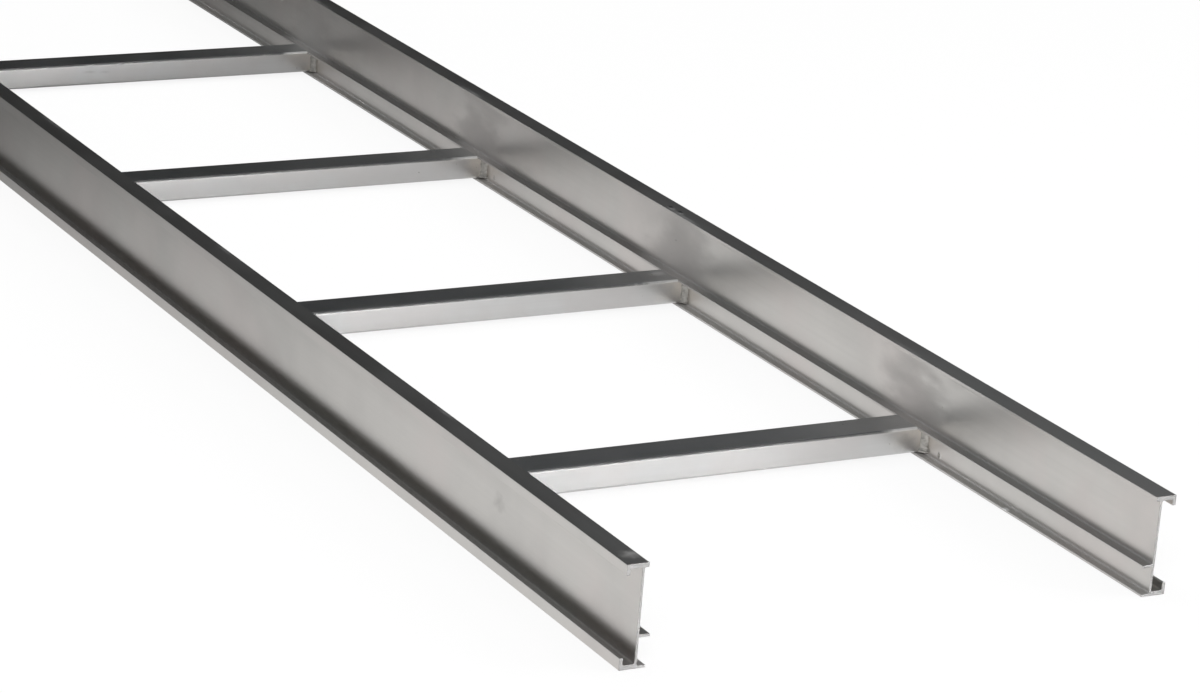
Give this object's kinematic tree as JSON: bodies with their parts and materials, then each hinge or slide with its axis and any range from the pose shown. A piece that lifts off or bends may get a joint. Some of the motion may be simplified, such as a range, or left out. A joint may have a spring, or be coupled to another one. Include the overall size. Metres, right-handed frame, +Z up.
{
  "type": "cable ladder section",
  "caption": "Straight section of aluminium cable ladder: flanged extruded side rails facing outwards, joined by welded rectangular tube rungs, for carrying cables.",
  "frame": {"origin": "middle of the section's length and width, on the plane of the rails' undersides", "axes": "+Y along the side rails, +X across the ladder, +Z up from the rungs to the open side of the trough"},
  "size_m": [0.5408, 3.048, 0.0921],
  "materials": {
    "rail_aluminium": "mill-finish extrusion, satin, fine lengthwise die lines",
    "rung_aluminium": "mill-finish tube, satin, with bright weld beads at its ends"
  },
  "bodies": {
    "root": {"left_rail": "rail_aluminium", "right_rail": "rail_aluminium", "rung_1": "rung_aluminium", "rung_2": "rung_aluminium", "rung_3": "rung_aluminium", "rung_4": "rung_aluminium", "rung_5": "rung_aluminium", "rung_6": "rung_aluminium"}
  },
  "joints": []
}
